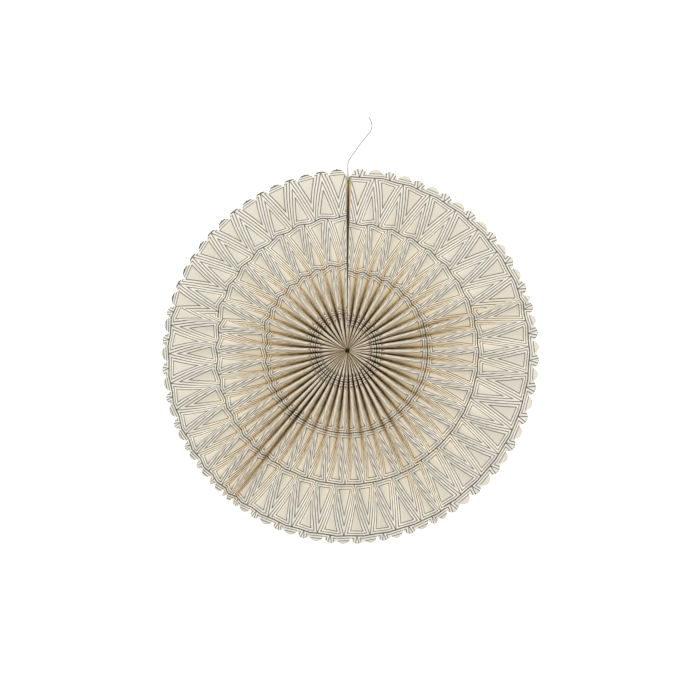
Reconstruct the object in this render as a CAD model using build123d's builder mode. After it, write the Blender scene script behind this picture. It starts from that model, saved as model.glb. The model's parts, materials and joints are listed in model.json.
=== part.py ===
"""Paper fan rosette: five pleated sheets joined into a disc, laced at the hub, with a hanging thread.

The disc lies on its back: the valley folds are on z = 0, the axis is +Z and the closing seam
points to +Y. Bearings run clockwise from the seam, seen from above. A pleat is two panels that
lean against each other along a ridge; every panel is a strip of one width, so it stands upright
at the hub, where there is no room, and lies nearly flat at the rim.
"""

import os
from math import asin, cos, degrees, hypot, radians, sin, sqrt, tan

from build123d import *

# Driving dimensions, in millimetres and degrees

RIM_RADIUS = 210.0  # axis to the tips of the scallops
SCALLOP_DEPTH = 8.0  # rounded end of a panel, from its tip back to the notches
PAPER = 0.12  # thickness of the sheets
RIM_RISE = 3.2  # height of a ridge above its valleys at the notches of the widest pleats
PANEL_AIR = 0.045  # air between neighbouring panels where they crowd at the hub

SHEET_SPANS = (72.6, 76.2, 72.9, 64.8)  # bearing that each sheet takes; the last takes the rest
SHEET_PLEATS = (7, 9, 9, 9, 7)  # whole pleats of each sheet, clockwise from the closing seam
FIRST_PLEATS = (1.0, 1.0, 0.78, 0.85, 1.0)  # width of a sheet's first pleat, against its others
SEAM_FLAP = 1.0  # bearing that each of the two glue flaps takes at the closing seam

HUB_STATIONS = (1.0, 3.0, 8.0)  # hub radius multiples where a panel is still nearly upright
TWIST_STEPS = 6  # equal steps of tilt that divide the rest of a panel
FLAP_STATION = 2  # station where the glue flaps begin, clear of the crowded hub

LACING_INSET = 3.0  # lacing thread's centre line, from the inner ends of the panels
LACING_DIAMETER = 0.8  # lacing thread
LACING_SIDES = 8  # flats round the lacing thread
LACING_CLEARANCE = 0.1  # flats of the awl holes, clear of the lacing thread

THREAD_DIAMETER = 1.2  # hanging thread
THREAD_CLEARANCE = 0.1  # glue between the thread's tail and the two flaps
THREAD_TAIL = 6.0  # length of the tail between the flaps, from the notch inwards
THREAD_ROUTE = (  # free thread from the notch: sideways, outwards, share of the tail's height
    (-0.3, 0.6, 1.0),
    (-0.6, 8.0, 0.45),
    (-0.3, 15.4, 0.0),
    (2.4, 20.4, 0.0),
    (7.4, 27.0, 0.0),
    (13.0, 35.6, 0.0),
    (22.8, 47.6, 0.0),
    (27.0, 53.4, 0.0),
    (27.4, 62.4, 0.0),
    (23.2, 68.4, 0.0),
)

# Pitch of the panels: at the closing seam a sheet has one panel more than whole pleats, and a flap

sheet_spans = [*SHEET_SPANS, 360.0 - sum(SHEET_SPANS)]
last_sheet = len(sheet_spans) - 1
seam_ends = [1 if index in (0, last_sheet) else 0 for index in range(len(sheet_spans))]
pitches = [
    (span - SEAM_FLAP * ends) / (2 * (pleats - 1 + first) + ends)
    for span, pleats, first, ends in zip(sheet_spans, SHEET_PLEATS, FIRST_PLEATS, seam_ends)
]
first_pitches = [pitch * first for pitch, first in zip(pitches, FIRST_PLEATS)]
widest, narrowest = max(pitches + first_pitches), min(pitches + first_pitches)


def chord(radius, pitch):
    """Straight distance between a ridge and the next valley, at a radius."""
    return 2 * radius * sin(radians(pitch / 2))


def notch_radius(pitch):
    """Radius of the notches, where the tips of the scallops reach the rim radius."""
    return (RIM_RADIUS - SCALLOP_DEPTH) / cos(radians(pitch / 2))


panel_width = hypot(chord(notch_radius(widest), widest), RIM_RISE)
hub_radius = (PAPER + PANEL_AIR) / chord(1.0, narrowest)
lacing_radius = hub_radius + LACING_INSET
lacing_height = panel_width / 2


def ridge_height(radius, pitch):
    """Height of a ridge above the floor: a panel keeps its width from the hub to the rim."""
    return sqrt(panel_width**2 - chord(radius, pitch) ** 2)


def panel_slope(base, height):
    """Rise over run of a panel that fits, with its thickness, in a base and a height."""
    return (height * base - PAPER * sqrt(height**2 + base**2 - PAPER**2)) / (base**2 - PAPER**2)


def upright_thickness(base, height):
    """Thickness of a tilted panel, measured straight up."""
    return PAPER * hypot(1.0, panel_slope(base, height))


def station_radii(pitch):
    """Radii from hub to notch where a panel's two faces are divided into facets."""
    near_hub = [hub_radius * multiple for multiple in HUB_STATIONS]
    flat_radius = panel_width / chord(1.0, pitch)
    first, last = (degrees(asin(r / flat_radius)) for r in (near_hub[-1], notch_radius(pitch)))
    step = (last - first) / TWIST_STEPS
    return near_hub + [flat_radius * sin(radians(first + step * n)) for n in range(1, TWIST_STEPS + 1)]


# One panel, from its ridge on +Y to its valley one pitch clockwise


def facet(*corners):
    """Flat face on the given corners."""
    return Face(Wire.make_polygon(corners))


def twisted_strip(pitch, turn, first_station=0):
    """Panel without its rounded end, as flat facets between the stations, over a turn of bearing."""
    ridge_way = Vector(0, 1, 0)
    valley_way = ridge_way.rotate(Axis.Z, -turn)
    ridge_top, ridge_under, valley_top, valley_floor = [], [], [], []
    for radius in station_radii(pitch)[first_station:]:
        height = Vector(0, 0, ridge_height(radius, pitch))
        thickness = Vector(0, 0, upright_thickness(chord(radius, turn), height.length))
        ridge_top.append(ridge_way * radius + height)
        ridge_under.append(ridge_way * radius + height - thickness)
        valley_top.append(valley_way * radius + thickness)
        valley_floor.append(valley_way * radius)

    faces = [
        facet(*ridge_top, *reversed(ridge_under)),
        facet(*valley_top, *reversed(valley_floor)),
    ]
    for end in (0, -1):
        faces.append(facet(ridge_top[end], valley_top[end], valley_floor[end], ridge_under[end]))
    for ridge, valley in ((ridge_top, valley_top), (ridge_under, valley_floor)):
        for near in range(len(ridge) - 1):
            faces.append(facet(ridge[near], valley[near], ridge[near + 1]))
            faces.append(facet(valley[near], valley[near + 1], ridge[near + 1]))
    return Solid(Shell(faces))


def panel_part(pitch):
    """Panel with its scalloped end and its awl hole for the lacing thread."""
    radius = notch_radius(pitch)
    end_thickness = upright_thickness(chord(radius, pitch), ridge_height(radius, pitch))
    outwards = Vector(0, 1, 0).rotate(Axis.Z, -pitch / 2)
    across = Vector(1, 0, 0).rotate(Axis.Z, -pitch / 2)
    ridge_end = Vector(0, radius, ridge_height(radius, pitch))
    valley_end = Vector(0, radius, end_thickness).rotate(Axis.Z, -pitch)
    end_line = valley_end - ridge_end
    half_width = end_line.length / 2
    end_plane = Plane((ridge_end + valley_end) / 2, x_dir=end_line, z_dir=end_line.cross(outwards))
    hole_plane = Plane(outwards * lacing_radius + Vector(0, 0, lacing_height), x_dir=(0, 0, 1), z_dir=across)
    with BuildPart() as panel:
        add(twisted_strip(pitch, pitch))
        with BuildSketch(end_plane):
            with BuildLine():
                Line((half_width, 0), (-half_width, 0))
                EllipticalCenterArc((0, 0), half_width, SCALLOP_DEPTH, arc_size=180)
            make_face()
        extrude(amount=end_thickness, dir=(0, 0, -1))
        with BuildSketch(hole_plane):
            RegularPolygon(LACING_DIAMETER / 2 + LACING_CLEARANCE, side_count=6, major_radius=False)
        extrude(amount=chord(lacing_radius, pitch), both=True, mode=Mode.SUBTRACT)
    return panel.part


def seam_panel(pitch):
    """Panel at the closing seam, with the glue flap that drops from its ridge on +Y."""
    with BuildPart() as panel:
        add(panel_part(pitch))
        add(mirror(twisted_strip(pitch, SEAM_FLAP, FLAP_STATION), about=Plane.YZ, mode=Mode.PRIVATE))
    return panel.part


def pleat_part(pitch):
    """Two panels that share a ridge on +Y."""
    with BuildPart() as pleat:
        add(panel_part(pitch))
        mirror(about=Plane.YZ)
    return pleat.part


os.makedirs("parts", exist_ok=True)

# Five pleated sheets round the hub: they meet at valleys, and at the closing seam flap to flap

start = 0.0
for index, (span, pleats, pitch, first_pitch) in enumerate(
    zip(sheet_spans, SHEET_PLEATS, pitches, first_pitches)
):
    whole_pleat = pleat_part(pitch)
    bearing = start
    with BuildPart() as sheet:
        if index == 0:
            bearing += SEAM_FLAP
            with PolarLocations(0, 1, start_angle=-bearing):
                add(seam_panel(pitch))
            bearing += pitch
        with PolarLocations(0, 1, start_angle=-bearing - first_pitch):
            add(whole_pleat if first_pitch == pitch else pleat_part(first_pitch))
        bearing += 2 * first_pitch
        others = pleats - 1
        with PolarLocations(0, others, -bearing - pitch, -2 * pitch * others, endpoint=False):
            add(whole_pleat)
        if index == last_sheet:
            with PolarLocations(0, 1, start_angle=SEAM_FLAP - start - span):
                add(mirror(seam_panel(pitch), about=Plane.YZ, mode=Mode.PRIVATE))
    start += span
    sheet.part.label = f"pleated_sheet_{index + 1}"
    export_step(sheet.part, f"parts/{sheet.part.label}.step")

# Lacing thread: a ring through the awl holes that gathers the inner ends of all panels

with BuildPart() as hub_lacing:
    with BuildSketch(Plane.XZ):
        with Locations((lacing_radius, lacing_height)):
            RegularPolygon(LACING_DIAMETER / 2, side_count=LACING_SIDES)
    revolve(axis=Axis.Z)
hub_lacing.part.label = "hub_lacing"
export_step(hub_lacing.part, "parts/hub_lacing.step")

# Hanging thread: its tail is glued between the two flaps of the closing seam


def tail_rest(radius, pitch):
    """Height at which the thread lies between the flaps, at a radius."""
    base, height = chord(radius, SEAM_FLAP), ridge_height(radius, pitch)
    reach = (THREAD_DIAMETER / 2 + THREAD_CLEARANCE) * hypot(1.0, panel_slope(base, height))
    return upright_thickness(base, height) + reach


floor_height = THREAD_DIAMETER / 2
seam_notch = notch_radius(pitches[-1])
tail_height = max(tail_rest(seam_notch - THREAD_TAIL, pitch) for pitch in (pitches[0], pitches[-1]))
route = [
    Vector(sideways, seam_notch + outwards, floor_height + (tail_height - floor_height) * share)
    for sideways, outwards, share in ((0.0, -THREAD_TAIL, 1.0), *THREAD_ROUTE)
]


def bend_radii(points):
    """Largest arc at each corner that its two runs leave room for."""
    radii = []
    for before, corner, after in zip(points, points[1:], points[2:]):
        incoming, outgoing = corner - before, after - corner
        turn = radians(incoming.get_angle(outgoing))
        radii.append(0.45 * min(incoming.length, outgoing.length) / tan(turn / 2))
    return radii


thread_bends = bend_radii(route)
with BuildPart() as hanging_thread:
    with BuildLine() as thread_path:
        FilletPolyline(*route, radius=thread_bends)
    with BuildSketch(Plane(thread_path.line @ 0, z_dir=thread_path.line % 0)):
        Circle(THREAD_DIAMETER / 2)
    sweep()
hanging_thread.part.label = "hanging_thread"
export_step(hanging_thread.part, "parts/hanging_thread.step")

print("hanging thread bend radii:", [round(radius, 1) for radius in thread_bends])
print("hanging thread length:", round(sum(edge.length for edge in thread_path.edges()), 2))
print("panel width:", round(panel_width, 3), "hub radius:", round(hub_radius, 3))
print("seam notch:", round(seam_notch, 3), "tail height:", round(tail_height, 3))
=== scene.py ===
"""Looks of a paper fan rosette: five printed, pleated sheets, a laced hub and a hanging thread.

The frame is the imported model: metres, +Z out of the printed front, +Y towards the closing seam.
Bearings run clockwise from the seam, seen from the front.
"""

from __future__ import annotations

import json
import logging
import math
import random
from dataclasses import dataclass, field
from enum import Enum
from itertools import accumulate
from typing import Any

import bmesh
import bpy
from mathutils import Matrix, Vector, noise

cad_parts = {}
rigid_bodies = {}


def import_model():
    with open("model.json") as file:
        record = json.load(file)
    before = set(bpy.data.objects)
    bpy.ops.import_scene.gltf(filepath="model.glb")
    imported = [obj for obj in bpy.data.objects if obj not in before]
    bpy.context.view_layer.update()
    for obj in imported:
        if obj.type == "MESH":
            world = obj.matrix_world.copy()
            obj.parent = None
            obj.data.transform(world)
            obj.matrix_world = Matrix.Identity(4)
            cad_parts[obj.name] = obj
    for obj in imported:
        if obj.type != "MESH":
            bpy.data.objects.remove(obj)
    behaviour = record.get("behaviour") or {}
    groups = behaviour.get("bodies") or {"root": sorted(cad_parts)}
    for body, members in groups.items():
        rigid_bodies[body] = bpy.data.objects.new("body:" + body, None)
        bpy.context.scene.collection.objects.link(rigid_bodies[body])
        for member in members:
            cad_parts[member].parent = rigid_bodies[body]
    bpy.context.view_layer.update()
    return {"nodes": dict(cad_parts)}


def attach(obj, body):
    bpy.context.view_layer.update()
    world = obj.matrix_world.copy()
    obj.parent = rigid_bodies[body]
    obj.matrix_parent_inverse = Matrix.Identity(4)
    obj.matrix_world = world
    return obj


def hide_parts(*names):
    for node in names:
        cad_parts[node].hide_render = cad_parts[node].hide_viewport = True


LOG = logging.getLogger("paper_fan")
MM = 0.001
FULL_TURN = 360.0

Colour = tuple[float, float, float, float]
WHITE: Colour = (1.0, 1.0, 1.0, 1.0)
BLACK: Colour = (0.0, 0.0, 0.0, 1.0)


def srgb(red: int, green: int, blue: int) -> Colour:
    """Turn a colour as seen on screen into the linear colour that a shader takes.

    Args:
        red: Red, 0 to 255.
        green: Green, 0 to 255.
        blue: Blue, 0 to 255.

    Returns:
        Linear red, green, blue and an alpha of 1.
    """

    def linear(value: int) -> float:
        """Undo the screen's curve for one channel."""
        share = value / 255
        return share / 12.92 if share <= 0.04045 else ((share + 0.055) / 1.055) ** 2.4

    return linear(red), linear(green), linear(blue), 1.0


def part_way(value: float, low: float, high: float) -> float:
    """How far a value has come from low to high, 0 to 1."""
    return min(max((value - low) / (high - low), 0.0), 1.0)


# Shader maths


class Signal:
    """A number that varies over a surface: a node's output socket with arithmetic."""

    def __init__(self, nodes: "NodeSheet", socket: bpy.types.NodeSocket) -> None:
        """Wrap a socket of a node tree."""
        self.nodes = nodes
        self.socket = socket

    def _math(self, operation: str, *values: "Signal | float") -> "Signal":
        """Add one Math node on the given values."""
        return self.nodes.add("ShaderNodeMath", {"operation": operation}, dict(enumerate(values)))

    def __add__(self, other: "Signal | float") -> "Signal":
        """Sum."""
        return self._math("ADD", self, other)

    def __radd__(self, other: float) -> "Signal":
        """Sum, from the right."""
        return self._math("ADD", other, self)

    def __sub__(self, other: "Signal | float") -> "Signal":
        """Difference."""
        return self._math("SUBTRACT", self, other)

    def __rsub__(self, other: float) -> "Signal":
        """Difference, from the right."""
        return self._math("SUBTRACT", other, self)

    def __mul__(self, other: "Signal | float") -> "Signal":
        """Product."""
        return self._math("MULTIPLY", self, other)

    def __rmul__(self, other: float) -> "Signal":
        """Product, from the right."""
        return self._math("MULTIPLY", other, self)

    def fraction(self) -> "Signal":
        """Part after the decimal point, also of a negative number."""
        return self._math("FRACT", self)

    def size(self) -> "Signal":
        """Number without its sign."""
        return self._math("ABSOLUTE", self)

    def least(self, other: "Signal | float") -> "Signal":
        """Smaller of two numbers."""
        return self._math("MINIMUM", self, other)

    def most(self, other: "Signal | float") -> "Signal":
        """Larger of two numbers."""
        return self._math("MAXIMUM", self, other)

    def above(self, limit: float) -> "Signal":
        """1 where the number is over a limit, else 0."""
        return self._math("GREATER_THAN", self, limit)

    def ramp(self, low: float, high: float, start: float = 0.0, end: float = 1.0) -> "Signal":
        """Smooth step from start, at low, to end, at high."""
        settings = {"interpolation_type": "SMOOTHSTEP"}
        values = {"Value": self, "From Min": low, "From Max": high, "To Min": start, "To Max": end}
        return self.nodes.add("ShaderNodeMapRange", settings, values)


class NodeSheet:
    """A node tree with one shader, filled from Python expressions."""

    MIX_INPUTS = (0, 6, 7)
    MIX_RESULT = 2

    def __init__(self, owner: bpy.types.Material | bpy.types.World, shader: str) -> None:
        """Start from the shader that a new material or world has.

        Args:
            owner: Material or world that the nodes belong to.
            shader: Name of its shader node.
        """
        owner.use_nodes = True
        self.owner = owner
        self.tree = owner.node_tree
        self.shader = self.tree.nodes[shader]

    @classmethod
    def surface(cls, name: str) -> "NodeSheet":
        """Start a material."""
        return cls(bpy.data.materials.new(name), "Principled BSDF")

    def add(
        self,
        kind: str,
        settings: dict[str, Any] | None = None,
        values: dict[str | int, Any] | None = None,
        output: str | int = 0,
    ) -> Signal:
        """Add a node.

        Args:
            kind: Type of the node.
            settings: Properties of the node, set first.
            values: Value or link of each input, by name or number.
            output: Output to hand back, by name or number.

        Returns:
            The chosen output.
        """
        node = self.tree.nodes.new(kind)
        for name, value in (settings or {}).items():
            setattr(node, name, value)
        for name, value in (values or {}).items():
            self.feed(node.inputs[name], value)
        return Signal(self, node.outputs[output])

    def feed(self, socket: bpy.types.NodeSocket, value: Any) -> None:
        """Link a signal to a socket, or set the socket's own value."""
        if isinstance(value, Signal):
            self.tree.links.new(value.socket, socket)
        else:
            socket.default_value = value

    def shade(self, values: dict[str, Any]) -> None:
        """Feed the shader's inputs by name."""
        for name, value in values.items():
            self.feed(self.shader.inputs[name], value)

    def coordinates(self, output: str) -> Signal:
        """A set of texture coordinates, such as Object or UV."""
        return self.add("ShaderNodeTexCoord", output=output)

    def axis(self, vector: Signal, name: str) -> Signal:
        """One axis of a vector."""
        return self.add("ShaderNodeSeparateXYZ", values={"Vector": vector}, output=name)

    def from_axis(self, place: Signal) -> Signal:
        """Distance of a place from the fan's axis."""
        across = {0: place, 1: (1.0, 1.0, 0.0)}
        level = self.add("ShaderNodeVectorMath", {"operation": "MULTIPLY"}, across, "Vector")
        return self.add("ShaderNodeVectorMath", {"operation": "LENGTH"}, {0: level}, "Value")

    def speckle(
        self, vector: Signal, scale: float, detail: float = 2.0, rough: float = 0.5
    ) -> Signal:
        """Noise from 0 to 1."""
        values = {"Vector": vector, "Scale": scale, "Detail": detail, "Roughness": rough}
        return self.add("ShaderNodeTexNoise", values=values, output="Fac")

    def attribute(self, name: str) -> Signal:
        """A number that the mesh carries."""
        return self.add("ShaderNodeAttribute", {"attribute_name": name}, output="Fac")

    def blend(self, share: Signal, first: Any, second: Any, mode: str = "MIX") -> Signal:
        """Mix two colours by a share, or multiply the first by the second."""
        settings = {"data_type": "RGBA", "blend_type": mode}
        values = dict(zip(self.MIX_INPUTS, (share, first, second)))
        return self.add("ShaderNodeMix", settings, values, self.MIX_RESULT)

    def bump(self, height: Signal, depth: float, strength: float) -> Signal:
        """Normal that a height in metres gives."""
        values = {"Height": height, "Distance": depth, "Strength": strength}
        return self.add("ShaderNodeBump", values=values)


# Finishes


class Side(Enum):
    """Sides of the paper."""

    FRONT = "front"
    BACK = "back"

    @property
    def openness(self) -> str:
        """Attribute that says how open a point lies on this side."""
        return f"open_{self.value}"

    @property
    def crest(self) -> str:
        """Attribute that says how far a point lies on a crest of this side."""
        return f"crest_{self.value}"


@dataclass(frozen=True)
class TrianglePrint:
    """Rows of nested triangles, as printed on the flat sheet before it was folded.

    Each row holds triangles that point to the rim and to the hub in turn, one of each in a
    period. Every triangle has three outlines, one inside the other, and a tinted middle.
    """

    row: float = 55.6 * MM
    period: float = 34.7 * MM
    second_outline: float = 2.6 * MM
    third_outline: float = 5.2 * MM
    side_spread: float = 1.26
    line: float = 0.78 * MM
    ring_line: float = 1.35 * MM
    soft_edge: float = 0.22 * MM

    def cover(self, nodes: NodeSheet) -> tuple[Signal, Signal, Signal]:
        """Draw the print from the piece's UV map, in periods across and rows outwards.

        Args:
            nodes: Material that takes the print.

        Returns:
            Cover of the printed lines, of the triangles' tinted middles and of the rows
            between the rings.
        """
        flat = nodes.coordinates("UV")
        from_tip = (2 * nodes.axis(flat, "X").fraction() - 1).size()
        outward = nodes.axis(flat, "Y").fraction()
        past_side = outward + from_tip - 1
        half_period = self.period / 2
        slope = self.row * half_period / math.hypot(half_period, self.row)
        to_side = past_side.size() * (slope / self.side_spread)
        points_to_hub = past_side.above(0.0)
        to_base = (points_to_hub * (1 - 2 * outward) + outward) * self.row
        to_ring = outward.least(1 - outward) * self.row
        to_edge = to_side.least(to_base)
        lines = self._line(to_ring, 0.0, self.ring_line)
        for outline in (0.0, self.second_outline, self.third_outline):
            lines = lines.most(self._line(to_edge, outline, self.line))
        inside = self.third_outline - self.soft_edge, self.third_outline + self.soft_edge
        middles = to_edge.ramp(*inside)
        between = to_ring.ramp(self.third_outline + self.line, 2 * self.third_outline)
        return lines, middles, between

    def _line(self, distance: Signal, place: float, width: float) -> Signal:
        """Cover of one line, drawn at a place on a distance."""
        return (distance - place).size().ramp(
            width / 2 - self.soft_edge, width / 2 + self.soft_edge, 1.0, 0.0
        )


@dataclass(frozen=True)
class PrintedPaper:
    """Uncoated paper with fine fibres, printed on one side.

    Painted shade stands in for the light that the pleats block and that the paper lets through:
    the colour turns darker and warm deep in the grooves, darkest at their bottoms, a little
    darker on open, flat paper, and darker on the crests of steep pleats, where the print has
    worn. The mesh carries how open each point lies and how far it lies on a crest, as numbers
    from 0 to 1. Noises are given as scale, detail and roughness, and levels as the start and
    end of a ramp.
    """

    name: str
    side: Side
    ink_strength: float = 0.95
    tint_strength: float = 1.0
    pattern: TrianglePrint = TrianglePrint()
    ground: Colour = srgb(250, 245, 233)
    tint: Colour = srgb(240, 233, 218)
    ink: Colour = srgb(34, 28, 22)
    aged: Colour = srgb(205, 186, 150)
    # Painted shade: open, flat paper is made a little darker
    flat: Colour = (0.79, 0.785, 0.772, 1.0)
    # Painted warm shade deep in hidden grooves, in place of light that the paper lets through
    glow: Colour = (1.0, 0.82, 0.50, 1.0)
    # Painted shade at the bottoms of deep grooves
    crease_painted_shade: Colour = (0.45, 0.36, 0.20, 1.0)
    # Painted shade on the crests of steep pleats and on the glue flap
    crest_painted_shade: Colour = (0.40, 0.34, 0.25, 1.0)
    cloud_noise: tuple[float, ...] = (22.0, 3.0)
    cloud_levels: tuple[float, float] = (0.45, 0.85)
    cloud_strength: float = 0.16
    fibre_noise: tuple[float, ...] = (900.0, 4.0, 0.65)
    fibre_levels: tuple[float, float] = (0.6, 0.8)
    fibre_strength: float = 0.10
    patch_noise: tuple[float, ...] = (420.0, 2.0)
    patch_cover: tuple[float, ...] = (0.2, 0.6, 0.8, 1.0)
    flat_levels: tuple[float, float] = (0.4, 0.92)
    crease_levels: tuple[float, float] = (0.8, 1.0)
    worn_levels: tuple[float, float] = (0.24, 0.41)
    worn_share: float = 0.8
    unprinted_levels: tuple[float, float] = (12.0 * MM, 17.0 * MM)
    cloud_relief: float = 2.0
    grain_depth: float = 0.05 * MM
    grain_strength: float = 0.35
    roughness: float = 0.86
    ink_smoothness: float = 0.12
    specular: float = 0.25

    def material(self) -> bpy.types.Material:
        """Make the material.

        Returns:
            The paper, for meshes with a UV map in periods and rows.
        """
        nodes = NodeSheet.surface(self.name)
        place = nodes.coordinates("Object")
        lines, middles, between = self.pattern.cover(nodes)
        clouds = nodes.speckle(place, *self.cloud_noise)
        fibres = nodes.speckle(place, *self.fibre_noise)
        patches = nodes.speckle(place, *self.patch_noise)
        openness, crest = nodes.attribute(self.side.openness), nodes.attribute(self.side.crest)
        hidden = 1 - openness
        colour = nodes.blend(middles * self.tint_strength, self.ground, self.tint)
        for share in (
            clouds.ramp(*self.cloud_levels) * self.cloud_strength,
            fibres.ramp(*self.fibre_levels) * self.fibre_strength,
        ):
            colour = nodes.blend(share, colour, self.aged)
        # Painted shade, multiplied into the colour: on open, flat paper, warm where a point lies
        # hidden, darkest at the bottoms of grooves, and on steep crests
        for share, tone in (
            (openness.ramp(*self.flat_levels), self.flat),
            (hidden * hidden * hidden, self.glow),
            (hidden.ramp(*self.crease_levels), self.crease_painted_shade),
            (crest, self.crest_painted_shade),
        ):
            colour = nodes.blend(share, colour, tone, "MULTIPLY")
        worn = between * crest.ramp(*self.worn_levels, 0.0, self.worn_share)
        lines = lines * nodes.from_axis(place).ramp(*self.unprinted_levels) * (1 - worn)
        cover = lines * self.ink_strength * patches.ramp(*self.patch_cover)
        colour = nodes.blend(cover, colour, self.ink)
        relief = fibres + clouds * self.cloud_relief
        grain = nodes.bump(relief, self.grain_depth, self.grain_strength)
        roughness = self.roughness - self.ink_smoothness * lines
        nodes.shade({"Base Color": colour, "Roughness": roughness, "Normal": grain})
        nodes.shade({"Specular IOR Level": self.specular})
        return nodes.owner


@dataclass(frozen=True)
class Cotton:
    """Matt bleached cotton with short fibres, with painted shade in the gaps between them."""

    name: str
    colour: Colour = srgb(186, 184, 181)
    # Painted shade in the gaps between fibres
    fibre_hollow_painted_shade: Colour = srgb(150, 147, 143)
    fibre_noise: tuple[float, ...] = (2600.0, 5.0, 0.7)
    hollow_share: tuple[float, ...] = (0.35, 0.7, 0.55, 0.0)
    fuzz_depth: float = 0.06 * MM
    fuzz_strength: float = 0.7
    roughness: float = 0.95
    fibre_smoothness: float = 0.1
    specular: float = 0.15
    sheen: float = 0.4
    sheen_roughness: float = 0.6

    def material(self) -> bpy.types.Material:
        """Make the material."""
        nodes = NodeSheet.surface(self.name)
        fibres = nodes.speckle(nodes.coordinates("Object"), *self.fibre_noise)
        # Painted shade where the fibre noise is low
        colour = nodes.blend(fibres.ramp(*self.hollow_share), self.colour, self.fibre_hollow_painted_shade)
        fuzz = nodes.bump(fibres, self.fuzz_depth, self.fuzz_strength)
        roughness = self.roughness - self.fibre_smoothness * fibres
        nodes.shade({"Base Color": colour, "Roughness": roughness, "Normal": fuzz})
        nodes.shade({"Specular IOR Level": self.specular})
        nodes.shade({"Sheen Weight": self.sheen, "Sheen Roughness": self.sheen_roughness})
        return nodes.owner


# The five sheets


class Fold(Enum):
    """Kinds of fold, seen from the printed front."""

    RIDGE = "ridge"
    VALLEY = "valley"

    @property
    def other(self) -> "Fold":
        """The fold that follows this one."""
        return Fold.VALLEY if self is Fold.RIDGE else Fold.RIDGE


class Mark(Enum):
    """What the print shows in the scallop of a panel, with its place in the print's period."""

    FAN = 0.0
    BASE = 0.5


class Flap(Enum):
    """Where a sheet has its glue flap for the closing seam."""

    NONE = "none"
    FIRST = "first"
    LAST = "last"


@dataclass(frozen=True)
class FanSizes:
    """Sizes that all sheets share, as those of the solids, and the soft bends at their folds.

    A bend is smaller where a panel has little room: the rooms give its largest radius as a
    share of the panel's base and of its height.
    """

    rim_radius: float = 210.0 * MM
    scallop_depth: float = 8.0 * MM
    paper: float = 0.12 * MM
    panel_width: float = 17.348 * MM
    hub_radius: float = 3.038 * MM
    flap_start: float = 24.3 * MM
    flap_inset: float = 3.5 * MM
    valley_bend: float = 0.3 * MM
    valley_room: tuple[float, float] = (0.15, 0.2)
    ridge_bend: float = 1.25 * MM
    ridge_room: tuple[float, float] = (0.6, 0.3)
    steep_lean: float = 80.0

    def chord(self, radius: float, pitch: float) -> float:
        """Straight distance between neighbouring folds, at a radius, for a pitch in degrees."""
        return 2 * radius * math.sin(math.radians(pitch / 2))

    def notch_radius(self, pitch: float) -> float:
        """Radius of the notches between scallops."""
        return (self.rim_radius - self.scallop_depth) / math.cos(math.radians(pitch / 2))

    def ridge_height(self, radius: float, pitch: float) -> float:
        """Height of a ridge over the valleys: a panel keeps its width from hub to rim."""
        rise = self.panel_width**2 - self.chord(radius, pitch) ** 2
        return math.sqrt(max(rise, self.paper**2))

    def across(self, base: float, height: float, share: float) -> tuple[float, float]:
        """Section of a panel from its valley to its ridge, with a soft bend at both folds.

        Args:
            base: Level distance between the folds.
            height: Height between the folds.
            share: How far along the paper, 0 to 1.

        Returns:
            Level distance from the valley as a share of the base, and height over the valley.
        """
        valley = min(self.valley_bend, self.valley_room[0] * base, self.valley_room[1] * height)
        ridge = min(self.ridge_bend, self.ridge_room[0] * base, self.ridge_room[1] * height)
        upper = height - valley - ridge
        lean = math.acos(-(valley + ridge) / math.hypot(upper, base)) - math.atan2(base, upper)
        if lean > math.radians(self.steep_lean):
            straight = (height - (valley + ridge) * (1 - math.cos(lean))) / math.sin(lean)
        else:
            straight = (base - (valley + ridge) * math.sin(lean)) / math.cos(lean)
        length = (valley + ridge) * lean + straight
        from_valley, from_ridge = share * length, (1 - share) * length
        if from_ridge < ridge * lean:
            turn = from_ridge / ridge
            level, rise = base - ridge * math.sin(turn), height - ridge * (1 - math.cos(turn))
        else:
            turn = min(from_valley / valley, lean)
            past = from_valley - turn * valley
            level = valley * math.sin(turn) + past * math.cos(lean)
            rise = valley * (1 - math.cos(turn)) + past * math.sin(lean)
        return level / base, rise


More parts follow.
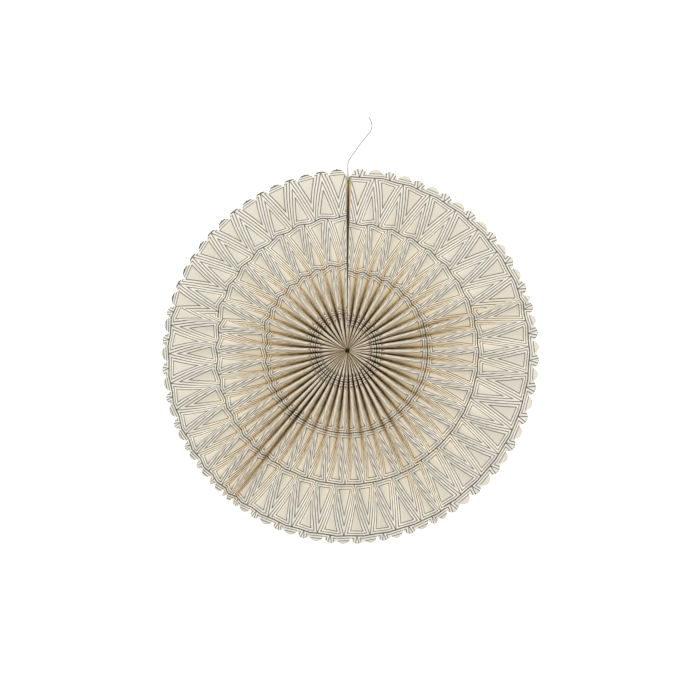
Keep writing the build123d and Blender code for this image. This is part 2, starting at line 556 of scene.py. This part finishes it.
@dataclass
class PleatedSheet:
    """One printed sheet, pleated and opened round the hub.

    The sheet starts as a flat grid of printed paper, and each of its points is then folded to
    its place, so the print follows the folds.
    """

    number: int
    hub_bearings: list[float]
    rim_bearings: list[float]
    first_mark: Mark
    ring_inset: float
    flap: Flap = Flap.NONE
    first_fold: Fold = Fold.VALLEY
    sizes: FanSizes = field(default_factory=FanSizes)
    pattern: TrianglePrint = field(default_factory=TrianglePrint)
    # The grid of the flat sheet: shares across a panel, and rows outwards, closest at the hub
    shares: tuple[float, ...] = (
        *(0.0, 0.008, 0.018, 0.032, 0.048, 0.068, 0.092, 0.12, 0.2, 0.34),
        *(0.5, 0.66, 0.8, 0.88, 0.908, 0.932, 0.952, 0.968, 0.982, 0.992, 1.0),
    )
    rows: int = 46
    scallop_rows: int = 5
    row_crowding: float = 1.5
    flap_cut: float = 30.0
    least_lean: float = 1.0001
    merge_distance: float = 0.002 * MM
    # Folding by hand: a clump is a number round the fan, a shift in degrees and a start
    folding_seed: int = 40
    end_cut: tuple[float, float] = (-1.1 * MM, 0.8 * MM)
    sway: float = 0.03
    hub_sway: float = 0.24
    hub_reach: float = 34.0 * MM
    spread_reach: float = 14.0 * MM
    clumps: tuple[tuple[float, float, float], ...] = ((16.0, 2.5, 1.0), (5.0, 1.8, 2.0))
    clump_reach: float = 24.0 * MM
    packed_width: float = 4.0 * MM
    hub_dip: float = 0.3
    dip_reach: float = 10.0 * MM
    least_rise: float = 1.2 * MM
    ripple: float = 0.25 * MM
    wave_scale: float = 30.0
    wave_step: float = 7.0
    # Numbers that the mesh carries for the painted shade of crests and of the glue flap
    open_lean: float = 50.0
    crest_levels: tuple[float, float] = (0.7, 0.95)
    crest_power: float = 1.2
    crest_tone: float = 0.62
    flap_levels: tuple[float, float] = (0.25, 0.6)
    flap_openness: float = 0.55
    flap_fade: float = 0.5

    def __post_init__(self) -> None:
        """Draw the small unevenness of hand folding."""
        self.panels = len(self.hub_bearings) - 1
        self.columns = len(self.shares) - 1
        chance = random.Random(self.folding_seed + self.number)
        self.nudges = [chance.uniform(-1, 1) for _ in self.hub_bearings]
        self.nudges[0] = self.nudges[-1] = 0.0
        hub = self.sizes.hub_radius
        self.ends = [hub + chance.uniform(*self.end_cut) for _ in self.hub_bearings]
        self.dips = [chance.uniform(0, self.hub_dip) for _ in self.hub_bearings]

    def is_flap(self, panel: int) -> bool:
        """Whether a panel is the glue flap."""
        place = {Flap.NONE: None, Flap.FIRST: 0, Flap.LAST: self.panels - 1}[self.flap]
        return panel == place

    def fold_kind(self, place: int) -> Fold:
        """Kind of the fold at a place, counted from the sheet's first edge."""
        return self.first_fold if place % 2 == 0 else self.first_fold.other

    def ridge_of(self, panel: int) -> int:
        """Place of a panel's ridge."""
        return panel if self.fold_kind(panel) is Fold.RIDGE else panel + 1

    def beside(self, place: int) -> list[int]:
        """The panels at a fold, without the glue flap."""
        return [p for p in (place - 1, place) if 0 <= p < self.panels and not self.is_flap(p)]

    def even_bearing(self, place: int, radius: float) -> float:
        """Bearing of a fold at a radius: in clumps at the hub, spread by hand further out."""
        spread = 1 - math.exp((self.sizes.hub_radius - radius) / self.spread_reach)
        near, far = self.hub_bearings[place], self.rim_bearings[place]
        turn = math.radians(near)
        crowd = sum(
            amount * (math.sin(count * turn + start) - math.sin(start))
            for count, amount, start in self.clumps
        )
        crowd *= math.exp(-radius / self.clump_reach) * self.loose(radius)
        return near + (far - near) * part_way(spread, 0.0, 1.0) + crowd

    def loose(self, radius: float) -> float:
        """How free the folds are to wander at a radius: not at all where the lacing packs them."""
        hub = self.sizes.hub_radius
        return part_way(radius, hub, hub + self.packed_width)

    def pitch(self, panel: int, radius: float) -> float:
        """Bearing that a panel takes at a radius."""
        return self.even_bearing(panel + 1, radius) - self.even_bearing(panel, radius)

    def bearing(self, place: int, radius: float) -> float:
        """Bearing of a fold at a radius, with the small unevenness that grows towards the hub."""
        panels = self.beside(place)
        if len(panels) < 2:
            return self.even_bearing(place, radius)
        amount = self.sway + self.hub_sway * math.exp(-radius / self.hub_reach) * self.loose(radius)
        room = min(self.pitch(panel, radius) for panel in panels)
        return self.even_bearing(place, radius) + self.nudges[place] * amount * room

    def height(self, panel: int, radius: float) -> float:
        """Height of a panel's ridge over its valley, between the middles of the paper."""
        ridge = self.ridge_of(panel)
        beside = self.beside(ridge)
        pitch = sum(self.pitch(p, radius) for p in beside) / len(beside)
        dip = self.dips[ridge] * math.exp((self.sizes.hub_radius - radius) / self.dip_reach)
        whole = self.sizes.ridge_height(radius, pitch) - self.sizes.paper
        return max(whole * (1 - min(dip, self.hub_dip)), self.least_rise)

    def folded(self, panel: int, share: float, radius: float, beyond: float) -> Vector:
        """Place of a point of the flat sheet once it is folded.

        Args:
            panel: Panel that the point is on.
            share: How far across the panel, 0 to 1.
            radius: Distance from the axis along the folds, up to the notches.
            beyond: Distance past the notches, in the scallop.

        Returns:
            The point, in the row frame.
        """
        first, second = self.bearing(panel, radius), self.bearing(panel + 1, radius)
        base = self.sizes.chord(radius, second - first)
        rises = self.fold_kind(panel) is Fold.VALLEY
        upward = share if rises else 1 - share
        level, rise = self.sizes.across(base, self.height(panel, radius), upward)
        ends = [
            Vector((math.sin(math.radians(bearing)), math.cos(math.radians(bearing)), 0.0)) * radius
            for bearing in (first, second)
        ]
        point = ends[0].lerp(ends[1], level if rises else 1 - level)
        middle = math.radians((first + second) / 2)
        point += Vector((math.sin(middle), math.cos(middle), 0.0)) * beyond
        reach = radius / self.sizes.rim_radius
        spot = point.x * self.wave_scale, point.y * self.wave_scale, self.number * self.wave_step
        wave = noise.noise(Vector(spot))
        point.z = self.sizes.paper / 2 + rise
        point.z += wave * self.ripple * reach * math.sin(math.pi * share)
        point.z = max(point.z, self.sizes.paper / 2)
        return point

    def openness(self, panel: int, height_share: float, radius: float) -> float:
        """Share of the sky that a point in a groove between two panels sees.

        Args:
            panel: Panel that the point is on.
            height_share: Height of the point in the groove, 0 at its bottom to 1.
            radius: Distance from the axis.

        Returns:
            1 on open, flat paper, down to nearly 0 deep in a narrow groove.
        """
        if self.is_flap(panel):
            # The glue flap takes a given openness, none at its bottom, which gives the seam painted
            # shade
            return self.flap_openness * part_way(height_share, *self.flap_levels)
        base = self.sizes.chord(radius, self.pitch(panel, radius))
        own_lean = math.atan2(base, self.height(panel, radius))
        far = math.atan2(base * (1 + height_share), self.height(panel, radius) * (1 - height_share))
        return math.sin((own_lean + far) / 2) ** 2

    def crest(self, panel: int, height_share: float, radius: float) -> float:
        """How much painted shade a point takes on the crest of a steep ridge.

        Args:
            panel: Panel that the point is on.
            height_share: Height of the point in the groove, 0 at its bottom to 1.
            radius: Distance from the axis.

        Returns:
            0 off the crests, up to 1 on steep crests, which differ more near the hub.
        """
        if self.is_flap(panel):
            # The glue flap takes the full crest value at its bottom, which darkens the seam with
            # painted shade
            return 1 - self.flap_fade * height_share
        base = self.sizes.chord(radius, self.pitch(panel, radius))
        lean = math.degrees(math.atan2(base, self.height(panel, radius)))
        steepness = max(1 - lean / self.open_lean, 0.0) ** self.crest_power
        near = math.exp(-radius / self.clump_reach)
        tone = self.crest_tone + near * self.dips[self.ridge_of(panel)] / self.hub_dip
        return min(steepness * tone, 1.0) * part_way(height_share, *self.crest_levels)

    def scallop_height(self, share: float) -> float:
        """Height of the rounded end above the notches, across a panel: half an ellipse."""
        return self.sizes.scallop_depth * math.sqrt(max(0.0, 1 - (2 * share - 1) ** 2))

    def flat_area(self) -> float:
        """Area of the sheet before folding, in square metres."""
        whole = [p for p in range(self.panels) if not self.is_flap(p)]
        scallop = math.pi * self.sizes.panel_width / 4 * self.sizes.scallop_depth
        strip = self.sizes.rim_radius - self.sizes.scallop_depth - self.sizes.hub_radius
        return len(whole) * (strip * self.sizes.panel_width + scallop)

    def flat_place(self, column: int, row: int) -> tuple[int, float, float, float]:
        """Where a crossing of the flat grid lies on the cut sheet.

        Args:
            column: Number of the grid line across.
            row: Number of the grid line outwards.

        Returns:
            Panel, share across the panel, radius up to the notches and distance past them.
        """
        panel = min(column // self.columns, self.panels - 1)
        share = self.shares[column - panel * self.columns]
        whole = panel
        if self.is_flap(panel):
            whole = 1 if panel == 0 else panel - 1
        pitch = self.rim_bearings[whole + 1] - self.rim_bearings[whole]
        notch = self.sizes.notch_radius(pitch)
        inner = self.ends[panel] + (self.ends[panel + 1] - self.ends[panel]) * share
        past = max(row - self.rows, 0) / self.scallop_rows
        outer, beyond = notch, past * self.scallop_height(share)
        if self.is_flap(panel):
            free = 1 - share if panel == 0 else share
            inner += (self.sizes.flap_start - inner) * min(free * self.flap_cut, 1.0)
            outer, beyond = notch - self.sizes.flap_inset * free, 0.0
        flat_radius = self.sizes.panel_width / self.sizes.chord(1.0, pitch)
        flat_radius = max(flat_radius, notch * self.least_lean)
        tilts = [math.asin(radius / flat_radius) for radius in (inner, outer)]
        outward = min(row / self.rows, 1.0) ** self.row_crowding
        radius = flat_radius * math.sin(tilts[0] + (tilts[1] - tilts[0]) * outward)
        return panel, share, radius, beyond

    def build(self, front: bpy.types.Material, back: bpy.types.Material) -> bpy.types.Object:
        """Cut, print and fold the sheet.

        Args:
            front: Printed side.
            back: Plain side and cut edges.

        Returns:
            The sheet, in place of its solid.
        """
        across, outwards = self.panels * self.columns, self.rows + self.scallop_rows
        mesh = bmesh.new()
        bmesh.ops.create_grid(mesh, x_segments=across, y_segments=outwards, size=1.0)
        printed = mesh.loops.layers.uv.new("print")
        numbers = mesh.verts.layers.float
        layers = {side: (numbers.new(side.openness), numbers.new(side.crest)) for side in Side}
        ring = self.sizes.rim_radius - self.ring_inset
        prints: dict[bmesh.types.BMVert, tuple[float, float]] = {}
        for vert in mesh.verts:
            column = round((vert.co.x + 1) / 2 * across)
            row = round((vert.co.y + 1) / 2 * outwards)
            panel, share, radius, beyond = self.flat_place(column, row)
            vert.co = self.folded(panel, share, radius, beyond)
            rise = share if self.fold_kind(panel) is Fold.VALLEY else 1 - share
            for side, (openness, crest) in layers.items():
                height_share = rise if side is Side.FRONT else 1 - rise
                vert[openness] = self.openness(panel, height_share, radius)
                vert[crest] = self.crest(panel, height_share, radius)
            along = (panel + share - 0.5) / 2 + self.first_mark.value
            prints[vert] = (along, (radius + beyond - ring) / self.pattern.row)
        for face in mesh.faces:
            face.smooth = True
            for loop in face.loops:
                loop[printed].uv = prints[loop.vert]
        bmesh.ops.remove_doubles(mesh, verts=mesh.verts, dist=self.merge_distance)
        bmesh.ops.recalc_face_normals(mesh, faces=mesh.faces)
        if sum(face.normal.z * face.calc_area() for face in mesh.faces) < 0:
            bmesh.ops.reverse_faces(mesh, faces=mesh.faces)
        data = bpy.data.meshes.new(f"paper_sheet_{self.number}")
        mesh.to_mesh(data)
        mesh.free()
        data.materials.append(front)
        data.materials.append(back)
        sheet = bpy.data.objects.new(data.name, data)
        bpy.context.scene.collection.objects.link(sheet)
        thickness = sheet.modifiers.new("paper", "SOLIDIFY")
        thickness.thickness = self.sizes.paper
        thickness.offset = 0.0
        thickness.material_offset = 1
        thickness.material_offset_rim = 1
        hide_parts(f"pleated_sheet_{self.number}")
        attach(sheet, "root")
        self.flat_area()
        return sheet


@dataclass(frozen=True)
class SheetPlan:
    """What sets a sheet apart: the bearing that it spans, its pleats, its flap and its print."""

    span: float
    pleats: int
    ring_inset: float
    first_pleat: float = 1.0
    flap: Flap = Flap.NONE
    first_mark: Mark = Mark.BASE

    def pitches(self, seam_flap: float) -> list[float]:
        """Bearing that each panel takes.

        Args:
            seam_flap: Bearing that a glue flap takes.

        Returns:
            One bearing for each panel in degrees, flap included.
        """
        if self.flap is Flap.NONE:
            pitch = self.span / (2 * (self.pleats - 1 + self.first_pleat))
            return [pitch * self.first_pleat] * 2 + [pitch] * (2 * self.pleats - 2)
        count = 2 * self.pleats + 1
        panels = [(self.span - seam_flap) / count] * count
        return [seam_flap, *panels] if self.flap is Flap.FIRST else [*panels, seam_flap]


@dataclass
class PaperDisc:
    """The five sheets, side by side round the hub.

    The spread gives pairs of a bearing and how far folds there were moved at the rim, by hand.
    """

    seam_flap: float = 1.0
    plans: tuple[SheetPlan, ...] = (
        SheetPlan(72.6, 7, 9.95 * MM, flap=Flap.FIRST),
        SheetPlan(76.2, 9, 10.8 * MM),
        SheetPlan(72.9, 9, 8.5 * MM, first_pleat=0.78),
        SheetPlan(64.8, 9, 7.7 * MM, first_pleat=0.85),
        SheetPlan(73.5, 7, 1.6 * MM, flap=Flap.LAST, first_mark=Mark.FAN),
    )
    spread: tuple[tuple[float, float], ...] = (
        *((0.0, 0.0), (4.0, 0.6), (60.0, 0.3), (72.6, -0.3), (79.0, -2.4), (88.0, -2.9)),
        *((104.0, -2.8), (113.0, -1.5), (122.0, -0.8), (148.8, -0.4), (170.0, -0.8), (195.0, -1.0)),
        *((212.0, -1.4), (221.7, -3.6), (226.4, -5.6), (237.0, -7.6), (247.0, -8.5), (255.0, -8.4)),
        *((266.0, -6.3), (274.0, -3.8), (281.0, -2.1), (286.5, -1.2), (294.0, -1.4), (313.0, -1.8)),
        *((337.0, -1.1), (352.0, -0.6), (359.0, 0.0), (FULL_TURN, 0.0)),
    )
    front: PrintedPaper = PrintedPaper("printed_front", Side.FRONT)
    back: PrintedPaper = PrintedPaper(
        "plain_back", Side.BACK, ink_strength=0.07, tint_strength=0.35
    )

    def spread_by_hand(self, bearing: float) -> float:
        """Bearing at which a fold reaches the rim, from its even place."""
        for (start, first), (end, second) in zip(self.spread, self.spread[1:]):
            if bearing <= end:
                return bearing + first + (second - first) * (bearing - start) / (end - start)
        return bearing

    def build(self) -> list[bpy.types.Object]:
        """Make all five sheets.

        Returns:
            The sheets, clockwise from the closing seam.
        """
        finishes = self.front.material(), self.back.material()
        sheets: list[bpy.types.Object] = []
        for index, plan in enumerate(self.plans):
            start = sum(before.span for before in self.plans[:index])
            pitches = [start, *plan.pitches(self.seam_flap)]
            bearings = [min(bearing, FULL_TURN) for bearing in accumulate(pitches)]
            sheet = PleatedSheet(
                number=index + 1,
                hub_bearings=bearings,
                rim_bearings=[self.spread_by_hand(bearing) for bearing in bearings],
                first_mark=plan.first_mark,
                ring_inset=plan.ring_inset,
                flap=plan.flap,
                pattern=self.front.pattern,
            )
            sheets.append(sheet.build(*finishes))
            LOG.info("%s: %d panels over %.1f degrees", sheets[-1].name, sheet.panels, plan.span)
        return sheets


# Threads


@dataclass
class HangingThread:
    """Cotton thread, laid up from three strands, from the closing seam to its bare end."""

    diameter: float = 1.2 * MM
    seam_notch: float = 202.18 * MM
    tail_height: float = 1.572 * MM
    tail: float = 6.0 * MM
    route: tuple[tuple[float, float, float], ...] = (
        (-0.3, 0.6, 1.0),
        (-0.6, 8.0, 0.45),
        (-0.3, 15.4, 0.0),
        (2.4, 20.4, 0.0),
        (7.4, 27.0, 0.0),
        (13.0, 35.6, 0.0),
        (22.8, 47.6, 0.0),
        (27.0, 53.4, 0.0),
        (27.4, 62.4, 0.0),
        (23.2, 68.4, 0.0),
    )
    strands: int = 3
    strand_share: float = 0.62
    fluff: float = 1.3
    lay_length: float = 4.2 * MM
    line_steps: int = 24
    tube_steps: int = 2

    @property
    def radius(self) -> float:
        """Radius over the strands, with their loose fibres."""
        return self.diameter / 2 * self.fluff

    def points(self) -> list[Vector]:
        """Control points of the thread, in the row frame."""
        rise = self.tail_height - self.radius
        places = [(0.0, -self.tail / MM, 1.0), *self.route]
        return [
            Vector((x * MM, self.seam_notch + y * MM, self.radius + rise * share))
            for x, y, share in places
        ]

    def traced(self, kind: str, points: list[Vector], thickness: float = 0.0) -> bpy.types.Mesh:
        """Mesh along a spline.

        Args:
            kind: NURBS for a smooth line near the points, POLY for runs between them.
            points: Points of the spline.
            thickness: Radius of a closed tube, or 0 for a bare line.

        Returns:
            The line or tube, in the row frame.
        """
        curve = bpy.data.curves.new("thread_line", "CURVE")
        curve.dimensions = "3D"
        curve.bevel_depth = thickness
        curve.bevel_resolution = self.tube_steps
        curve.use_fill_caps = True
        spline = curve.splines.new(kind)
        spline.points.add(len(points) - 1)
        for target, point in zip(spline.points, points):
            target.co = (*point, 1.0)
        spline.order_u = 3
        spline.use_endpoint_u = True
        spline.resolution_u = self.line_steps
        holder = bpy.data.objects.new("thread_line", curve)
        mesh = bpy.data.meshes.new_from_object(holder)
        bpy.data.objects.remove(holder)
        bpy.data.curves.remove(curve)
        return mesh

    def centreline(self) -> list[Vector]:
        """Points along the smooth line of the thread."""
        line = self.traced("NURBS", self.points())
        found = [vert.co.copy() for vert in line.vertices]
        bpy.data.meshes.remove(line)
        return found

    def strand(self, line: list[Vector], turn: float) -> bpy.types.Mesh:
        """One strand, wound round the thread's line.

        Args:
            line: Points along the thread.
            turn: Angle at which the strand starts, in radians.

        Returns:
            The strand as a closed tube.
        """
        strand_radius = self.radius * self.strand_share
        offset = self.radius - strand_radius
        wound: list[Vector] = []
        run = 0.0
        for place, point in enumerate(line):
            before, after = line[max(place - 1, 0)], line[min(place + 1, len(line) - 1)]
            ahead = (after - before).normalized()
            aside = ahead.cross(Vector((0, 0, 1))).normalized()
            upward = aside.cross(ahead)
            run += (point - before).length
            angle = turn + math.tau * run / self.lay_length
            wound.append(point + (aside * math.cos(angle) + upward * math.sin(angle)) * offset)
        return self.traced("POLY", wound, strand_radius)

    def build(self, finish: bpy.types.Material) -> bpy.types.Object:
        """Lay up the thread.

        Args:
            finish: Cotton of the thread.

        Returns:
            The thread, in place of its solid.
        """
        line = self.centreline()
        mesh = bmesh.new()
        for strand in range(self.strands):
            tube = self.strand(line, math.tau * strand / self.strands)
            mesh.from_mesh(tube)
            bpy.data.meshes.remove(tube)
        for face in mesh.faces:
            face.smooth = True
        data = bpy.data.meshes.new("hanging_cotton")
        mesh.to_mesh(data)
        mesh.free()
        data.materials.append(finish)
        thread = bpy.data.objects.new("hanging_cotton", data)
        bpy.context.scene.collection.objects.link(thread)
        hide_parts("hanging_thread")
        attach(thread, "root")
        return thread


# Studio


@dataclass(frozen=True)
class Lamp:
    """Square soft lamp, turned to the fan."""

    name: str
    place: tuple[float, float, float]
    power: float
    size: float = 1.1

    def hang(self) -> None:
        """Add the lamp to the scene."""
        data = bpy.data.lights.new(f"soft_lamp_{self.name}", "AREA")
        data.size = self.size
        data.energy = self.power
        lamp = bpy.data.objects.new(data.name, data)
        lamp.location = self.place
        lamp.rotation_euler = Vector(self.place).to_track_quat("Z", "Y").to_euler()
        bpy.context.scene.collection.objects.link(lamp)


@dataclass
class Studio:
    """White table under four wide soft lamps, seen from above.

    The table glows to the camera alone, outside the fan, so that it looks white.
    """

    camera_place: tuple[float, float, float] = (0.0647, -0.1121, 1.0365)
    aim: tuple[float, float, float] = (0.0020, 0.0023, 0.0)
    picture_width: float = 0.780
    lamps: tuple[Lamp, ...] = (
        Lamp("right", (0.8, 0.1, 1.1), 5.9),
        Lamp("left", (-0.8, 0.1, 1.1), 5.9),
        Lamp("far", (0.0, 0.85, 1.1), 6.1),
        Lamp("near", (0.0, -0.85, 1.1), 3.9),
    )
    sky_strength: float = 0.42
    table_glow: Colour = (0.45, 0.45, 0.45, 1.0)
    glow_edge: tuple[float, float] = (0.2, 0.212)
    table_size: float = 8.0
    table_drop: float = 0.2 * MM
    table_tones: tuple[Colour, Colour] = (srgb(250, 250, 250), srgb(254, 254, 254))
    table_noise: float = 40.0
    table_levels: tuple[float, float] = (0.3, 0.7)
    table_roughness: float = 0.9
    sensor_width: float = 36.0

    def build(self) -> None:
        """Set up the camera, the lamps, the sky and the table."""
        scene = bpy.context.scene
        scene.view_settings.view_transform = "Standard"
        self.camera()
        for lamp in self.lamps:
            lamp.hang()
        self.sky()
        self.table()

    def camera(self) -> None:
        """Look down on the fan, from a little towards its lower edge."""
        back = Vector(self.camera_place) - Vector(self.aim)
        data = bpy.data.cameras.new("camera")
        data.sensor_width = self.sensor_width
        data.lens = self.sensor_width * back.length / self.picture_width
        camera = bpy.data.objects.new("camera", data)
        right = Vector((0.0, 1.0, 0.0)).cross(back).normalized()
        upward = back.normalized().cross(right)
        camera.location = self.camera_place
        camera.rotation_euler = Matrix((right, upward, back.normalized())).transposed().to_euler()
        bpy.context.scene.collection.objects.link(camera)
        bpy.context.scene.camera = camera

    def sky(self) -> None:
        """Light everything evenly, and show white where nothing stands."""
        world = bpy.data.worlds.new("white_room")
        bpy.context.scene.world = world
        nodes = NodeSheet(world, "Background")
        seen, mirrored = (
            nodes.add("ShaderNodeLightPath", output=f"Is {ray} Ray") for ray in ("Camera", "Glossy")
        )
        levels = {"Value": seen.most(mirrored), "To Min": self.sky_strength}
        strength = nodes.add("ShaderNodeMapRange", values=levels)
        nodes.shade({"Color": WHITE, "Strength": strength})

    def table(self) -> None:
        """Lay a white table that keeps a soft shadow."""
        mesh = bmesh.new()
        bmesh.ops.create_grid(mesh, x_segments=1, y_segments=1, size=self.table_size / 2)
        bmesh.ops.translate(mesh, verts=mesh.verts, vec=(0.0, 0.0, -self.table_drop))
        data = bpy.data.meshes.new("white_table")
        mesh.to_mesh(data)
        mesh.free()
        nodes = NodeSheet.surface("white_table")
        place = nodes.coordinates("Object")
        grain = nodes.speckle(place, self.table_noise)
        tone = nodes.blend(grain.ramp(*self.table_levels), *self.table_tones)
        clear = nodes.from_axis(place).ramp(*self.glow_edge)
        seen = nodes.add("ShaderNodeLightPath", output="Is Camera Ray") * clear
        glow = nodes.blend(seen, BLACK, self.table_glow)
        nodes.shade({"Base Color": tone, "Roughness": self.table_roughness})
        nodes.shade({"Emission Color": glow, "Emission Strength": 1.0})
        data.materials.append(nodes.owner)
        table = bpy.data.objects.new("white_table", data)
        bpy.context.scene.collection.objects.link(table)


def main() -> None:
    """Build the fan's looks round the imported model."""
    logging.basicConfig(level=logging.INFO, format="%(name)s: %(message)s")
    for thing in list(bpy.data.objects):
        bpy.data.objects.remove(thing)
    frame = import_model()
    Studio().build()
    PaperDisc().build()
    HangingThread().build(Cotton("thread_cotton").material())
    lacing = frame["nodes"]["hub_lacing"]
    lacing.data.materials.clear()
    lacing.data.materials.append(Cotton("lacing_cotton").material())
    LOG.info("hub_lacing: dressed in cotton")


if __name__ == "__main__":
    main()
